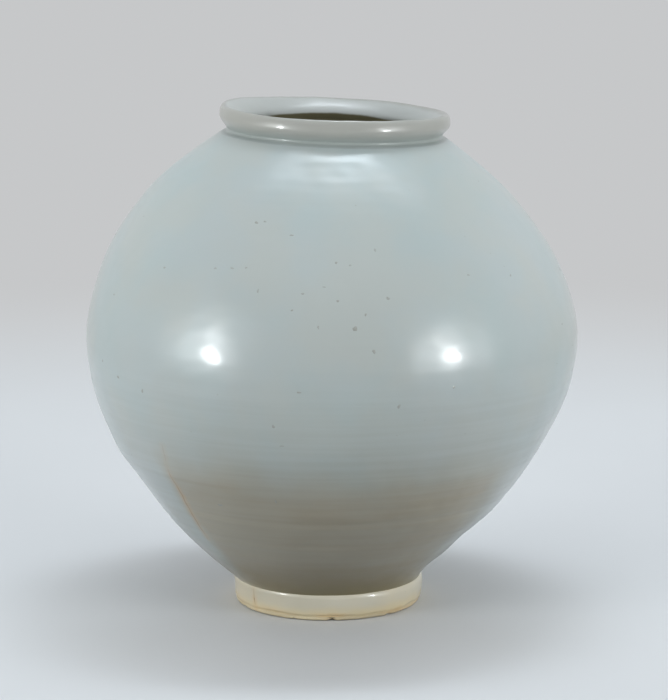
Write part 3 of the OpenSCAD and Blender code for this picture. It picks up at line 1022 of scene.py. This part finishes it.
# Iron specks that the front shows: angle in degrees from the front, height and radius in mm
SPECKS = ((-22.4, 336, 0.9), (-19.9, 337, 0.7), (-11.5, 328, 0.7), (10.9, 317, 0.8),
          (0.5, 309, 0.7), (4, 307, 0.6), (-30.6, 302, 0.7), (-26, 303, 0.8), (-22.3, 304, 0.6),
          (-46.4, 298, 0.7), (-18.3, 288, 0.8), (-7.5, 287, 0.7), (-2.5, 292, 0.6),
          (0.7, 282, 0.7), (12.5, 283, 0.9), (35.3, 295, 0.7), (49.6, 290, 0.7),
          (-9.8, 275, 0.6), (-3.7, 263, 0.7), (4.5, 262, 1.3), (7, 272, 0.7), (8.7, 245, 1.0),
          (-56.7, 208, 0.9), (-47.3, 202, 1.0), (-6.9, 214, 0.8), (15.2, 202, 1.0),
          (27.7, 214, 0.7), (-12.3, 186, 0.9), (-10.4, 170, 0.8), (-31.7, 111.5, 1.1),
          (-13.7, 120, 0.8))
# How many more there are all round the rest, and the outline of a speck: its rings' shares of
# the radius, and how high they lie over the glaze on one of 0.8 mm, the last one sunk in it
MORE_SPECKS = 95
SPECK_RINGS = np.array([0.0, 0.55, 1.0, 0.9])
SPECK_LIFTS = np.array([0.14, 0.10, 0.01, -0.3]) * MM


def blisters(s, rng, at, up, radius):
    """Places on low round blisters on the coat, for each speck a grid of rings and columns. Two
    waves round it make a speck ragged, and it is wider than high or higher than wide."""
    turn = np.linspace(0, 2 * np.pi, 8, endpoint=False)
    reach = SPECK_RINGS[None, :, None]
    at, up, radius = (values[:, None, None] for values in (at, up, radius))
    ring_r, _, _, nv = on_coat(s, up, at)
    wide = rng.uniform(0.8, 1.5, at.shape)
    ragged = 1 + 0.22 * np.sin(2 * turn + rng.uniform(0, 6, at.shape))
    ragged = ragged + 0.16 * np.sin(3 * turn + rng.uniform(0, 6, at.shape))
    at = at + radius / ring_r * reach * np.cos(turn) * wide * ragged
    steep = np.sqrt(np.maximum(0.15, 1 - nv**2))
    r, v, nr, nv = on_coat(s, up + radius * steep * reach * np.sin(turn) * ragged / wide, at)
    lift = SPECK_LIFTS[None, :, None] * radius / (0.8 * MM)
    return lean(r + lift * nr, v + lift * nv, at)


class JAR_OT_specks(Undone, bpy.types.Operator):
    """Iron specks, low blisters in the glaze: those on the front, and others all round"""
    bl_idname = "jar.specks"
    bl_label = "Iron Specks"

    def execute(self, context):
        s, c = chosen(context)
        rng = np.random.default_rng(5)
        more = np.stack([rng.uniform(62, 298, MORE_SPECKS), rng.uniform(60, 372, MORE_SPECKS),
                         0.35 + 0.75 * rng.random(MORE_SPECKS)**2.5], -1)
        turn, height, radius = np.vstack([np.array(SPECKS), more]).T
        at = np.radians(turn - 90)
        # The measured height is where the leaned ring lies; its upright height is a little off it
        fall = np.tan(np.radians(smooth_through(FALL, height)))
        up = height * MM + 0.19 * np.cos(at) * fall
        x, y, z = blisters(s, rng, at, up, radius * MM * 1.5)
        count, rows, cols = x.shape
        first = np.arange(count)[:, None] * rows * cols
        faces = grid_faces(rows, cols, loop=False)[:, [0, 3, 2, 1]]
        base = (np.arange(cols) + (rows - 1) * cols)[::-1]
        faces = ((first[:, None] + faces).reshape(-1, 4).tolist() + (first + base).tolist())
        mesh = new_mesh("iron_specks", (x, y, z), faces, weld=True, turn_out=True)
        add_piece(context, mesh, iron_finish(c), sharp=60)
        return {"FINISHED"}


# ---- stage

# Lamps: name, angle in degrees from the front, height angle, distance, width, height, power
LAMPS = (("left_lamp", -54, 2.6, 1.9, 0.30, 0.36, 9.5),
         ("left_lobe", -53, 13, 1.95, 0.30, 0.34, 1.9),
         ("left_shade", -57, 6, 2.0, 0.85, 0.90, 4.8),
         ("left_sheen", -60, 4, 2.1, 1.70, 1.50, 4.6),
         ("right_lamp", 51.7, 1.8, 1.9, 0.27, 0.34, 8.0),
         ("right_lobe", 47.5, 11, 1.95, 0.24, 0.26, 1.2),
         ("right_shade", 53, 8, 2.0, 0.85, 0.90, 4.0),
         ("right_sheen", 56, 5, 2.1, 1.70, 1.50, 4.4),
         ("top_lamp", 145, 78, 1.70, 0.45, 0.14, 1.60),
         ("top_glow", 145, 78, 1.72, 0.75, 0.20, 2.10),
         ("top_cloth", 150, 78.5, 1.75, 1.10, 0.28, 2.50),
         ("top_haze", 155, 79, 1.80, 1.55, 0.38, 3.40),
         ("top_shade", 160, 79.5, 1.85, 2.10, 0.52, 5.00),
         ("left_fill", -60, 4, 2.2, 1.2, 1.2, 41.5),
         ("right_fill", 58, 4, 2.2, 1.2, 1.2, 38.5),
         ("back_left_fill", -158, 8, 3.0, 1.6, 1.4, 22.0),
         ("back_right_fill", 158, 8, 3.0, 1.6, 1.4, 22.0))

# Strength of the pale background, and colour and strengths, from level to above, of the soft light
PALE = 0.86
SOFT_LIGHT, SOFT_STRENGTHS = (0.94, 0.98, 1.0, 1.0), (0.33, 0.50)
BLACK = (0.0, 0.0, 0.0)

# Where the camera and the lamps stand and aim
EYE, EYE_AIM = Vector((0.0052, -2.341, 0.650)), Vector((0.0052, 0.0, 0.2093))
LAMP_AIM = Vector((0.0, 0.0, 0.22))


def pale_ray(n):
    """1 for camera, glossy and transmission rays, which see the pale background."""
    path = n.tree.nodes.new("ShaderNodeLightPath").outputs
    return n.most(n.most(path["Is Camera Ray"], path["Is Glossy Ray"]),
                  path["Is Transmission Ray"])


class JAR_OT_stage(Undone, bpy.types.Operator):
    """Floor, background, lamps and camera"""
    bl_idname = "jar.stage"
    bl_label = "Stage"

    def execute(self, context):
        c = context.scene.jar_colours
        self.add_floor(context, c)
        self.add_world(context, c)
        for lamp in LAMPS:
            self.add_lamp(context, *lamp)
        self.add_camera(context)
        context.scene.view_settings.view_transform = "Standard"
        return {"FINISHED"}

    def add_floor(self, context, c):
        """A flat disc, just under the foot: circles round the middle. It is pale to the rays that
        see the background and dark to the rest, so it throws little light on the jar."""
        a = np.linspace(0, 2 * np.pi, COARSE, endpoint=False)[None, :]
        r = np.array([0.0, 0.5, 2.0, 6.0, 14.0])[::-1, None]
        x, y = r * np.cos(a), r * np.sin(a)
        mesh = surface("floor", x, y, np.full_like(x, -0.05 * MM), loop=False)
        f = Finish(c, "pale_floor", (0.06, 0.065, 0.068), Specular_IOR_Level=0.0,
                   Emission_Strength=1.0)
        seen = pale_ray(f)
        f.tint(seen, f.mixed(f.rough(3.0, 0.0, 1.0), shade(c.floor, 0.985), c.floor))
        # Far from the jar the floor takes on the background's even light, so no horizon shows
        far = f.stepped(f.vector("LENGTH", f.place, out="Value"), 0.7, 1.7)
        f.tint(far, BLACK)
        f.link("Emission Color", f.mixed(f.times(far, seen), BLACK, shade(c.floor, PALE)))
        mesh.materials.append(f.end(f.rough(60.0, 0.65, 0.8)))
        floor = bpy.data.objects.new("floor", mesh)
        context.scene.collection.objects.link(floor)

    def add_world(self, context, c):
        """Pale where the camera, gloss or glass looks; for the rest an even, soft light."""
        world = bpy.data.worlds.new("studio")
        context.scene.world = world
        world.use_nodes = True
        n, nodes = Nodes(world.node_tree), world.node_tree.nodes
        soft = nodes["Background"]
        soft.inputs["Color"].default_value = SOFT_LIGHT
        way = n.add("ShaderNodeTexCoord", {}, "Generated")
        rise = n.add("ShaderNodeSeparateXYZ", {0: way}, "Z")
        n.tree.links.new(n.stepped(rise, 0.0, 0.7, *SOFT_STRENGTHS), soft.inputs["Strength"])
        pale = n.add("ShaderNodeBackground", {"Color": (*c.floor, 1.0), "Strength": PALE})
        both = n.add("ShaderNodeMixShader", {0: pale_ray(n), 1: soft.outputs[0], 2: pale})
        n.tree.links.new(both, nodes["World Output"].inputs["Surface"])

    def add_lamp(self, context, name, turn, rise, away, wide, tall, power):
        """An area lamp at an angle and height round the jar, turned to its middle."""
        lamp = bpy.data.lights.new(name, "AREA")
        lamp.shape, lamp.size, lamp.size_y = "ELLIPSE", wide, tall
        lamp.energy = power
        lamp.color = (0.84, 0.92, 1.0) if name.startswith("top") else (0.95, 0.98, 1.0)
        made = bpy.data.objects.new(name, lamp)
        turn, rise = math.radians(turn), math.radians(rise)
        back = Vector((math.sin(turn) * math.cos(rise), -math.cos(turn) * math.cos(rise),
                       math.sin(rise)))
        made.location = LAMP_AIM + back * away
        made.rotation_euler = (-back).to_track_quat("-Z", "Y").to_euler()
        if name.startswith("top"):
            # The long way of the lamps overhead lies along X
            made.rotation_euler.rotate_axis("Z", math.pi - turn)
        made.visible_camera = False
        made.visible_glossy = not name.endswith("fill")
        made.visible_diffuse = not name.startswith(("left_l", "left_s", "right_l", "right_s"))
        context.scene.collection.objects.link(made)

    def add_camera(self, context):
        """The photograph's view: a long lens a little above the mouth."""
        lens = bpy.data.cameras.new("camera")
        lens.lens, lens.sensor_width = 148.9, 36.0
        made = bpy.data.objects.new("camera", lens)
        made.location = EYE
        made.rotation_euler = (EYE_AIM - EYE).to_track_quat("-Z", "Y").to_euler()
        context.scene.collection.objects.link(made)
        context.scene.camera = made


class VIEW3D_PT_moon_jar(bpy.types.Panel):
    """Sizes, colours and pieces of the jar"""
    bl_idname = "VIEW3D_PT_moon_jar"
    bl_label = "Moon Jar"
    bl_space_type = "VIEW_3D"
    bl_region_type = "UI"
    bl_category = "Moon Jar"

    def draw(self, context):
        for title, owner in (("Sizes", context.scene.jar_sizes),
                             ("Colours", context.scene.jar_colours)):
            self.layout.label(text=title)
            column = self.layout.column(align=True)
            for key in owner.__annotations__:
                column.prop(owner, key)
        self.layout.label(text="Pieces")
        column = self.layout.column(align=True)
        for operator in OPERATORS:
            column.operator(operator.bl_idname)


OPERATORS = (JAR_OT_body_coats, JAR_OT_mouth_coat, JAR_OT_foot_coat, JAR_OT_inside_coat,
             JAR_OT_foot, JAR_OT_well_coat, JAR_OT_bowls, JAR_OT_collar, JAR_OT_specks,
             JAR_OT_stage)
CLASSES = (JarSizes, JarColours, *OPERATORS, VIEW3D_PT_moon_jar)


def register():
    for made in CLASSES:
        bpy.utils.register_class(made)
    bpy.types.Scene.jar_sizes = bpy.props.PointerProperty(type=JarSizes)
    bpy.types.Scene.jar_colours = bpy.props.PointerProperty(type=JarColours)


def unregister():
    del bpy.types.Scene.jar_colours
    del bpy.types.Scene.jar_sizes
    for made in reversed(CLASSES):
        bpy.utils.unregister_class(made)


def main():
    """Registers the classes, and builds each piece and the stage."""
    register()
    for operator in OPERATORS:
        area, name = operator.bl_idname.split(".")
        getattr(getattr(bpy.ops, area), name)()


if __name__ == "__main__":
    main()
